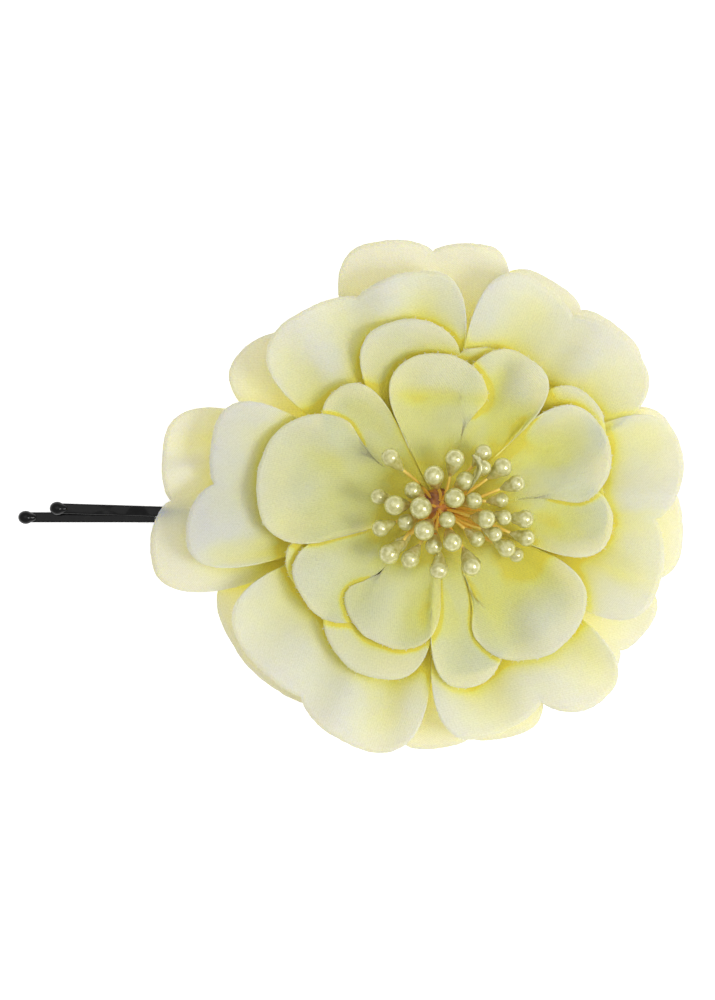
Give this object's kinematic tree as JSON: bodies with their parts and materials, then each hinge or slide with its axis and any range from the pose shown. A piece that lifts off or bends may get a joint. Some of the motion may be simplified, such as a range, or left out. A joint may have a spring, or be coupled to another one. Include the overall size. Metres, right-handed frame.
{
  "type": "flower hair clip",
  "caption": "Ivory fabric flower with a cluster of pearly stamens on a black sprung hair pin that slides onto a lock of hair.",
  "frame": {"origin": "on the flat underside of the pin's straight leg, on its centreline, below the flower's axis, at the surface that the clip lies on", "axes": "+Z out of the flower's face, -X along the pin towards its two tips, +Y to the left of a wearer looking along the pin from its tips"},
  "size_m": [0.1026, 0.0782, 0.0186],
  "materials": {
    "petal_fabric": "stiffened satin weave, ivory rims and creamy yellow roots",
    "stamen_pearl": "pearlescent",
    "stamen_thread": "waxed cotton thread",
    "core_glue": "set amber glue",
    "felt": "pressed felt",
    "clear_glue": "set hot-melt glue",
    "pin_lacquer": "gloss black lacquer on spring steel",
    "pin_tip_resin": "gloss black resin drop"
  },
  "bodies": {
    "flower": {"outer_petal_1": "petal_fabric", "outer_petal_2": "petal_fabric", "outer_petal_3": "petal_fabric", "outer_petal_4": "petal_fabric", "outer_petal_5": "petal_fabric", "outer_petal_6": "petal_fabric", "outer_petal_7": "petal_fabric", "outer_petal_8": "petal_fabric", "mid_petal_1": "petal_fabric", "mid_petal_2": "petal_fabric", "mid_petal_3": "petal_fabric", "mid_petal_4": "petal_fabric", "mid_petal_5": "petal_fabric", "mid_petal_6": "petal_fabric", "second_petal_1": "petal_fabric", "second_petal_2": "petal_fabric", "second_petal_3": "petal_fabric", "second_petal_4": "petal_fabric", "second_petal_5": "petal_fabric", "inner_petal_1": "petal_fabric", "inner_petal_2": "petal_fabric", "inner_petal_3": "petal_fabric", "inner_petal_4": "petal_fabric", "inner_petal_5": "petal_fabric", "stamen_heads": "stamen_pearl", "stamen_threads": "stamen_thread", "flower_core": "core_glue", "felt_backing": "felt", "pin_glue": "clear_glue", "pin_crimped_leg": "pin_lacquer", "crimped_leg_tip": "pin_tip_resin"},
    "straight_leg": {"pin_straight_leg": "pin_lacquer", "straight_leg_tip": "pin_tip_resin"}
  },
  "joints": [
    {"name": "pin_open", "type": "hinge", "parent": "flower", "child": "straight_leg", "pos_m": [0.002, 0, 0.0013], "axis": [0, -1, 0], "range_deg": [0, 12], "stiffness_Nm_per_rad": 0.05, "springref_deg": -2.86}
  ]
}
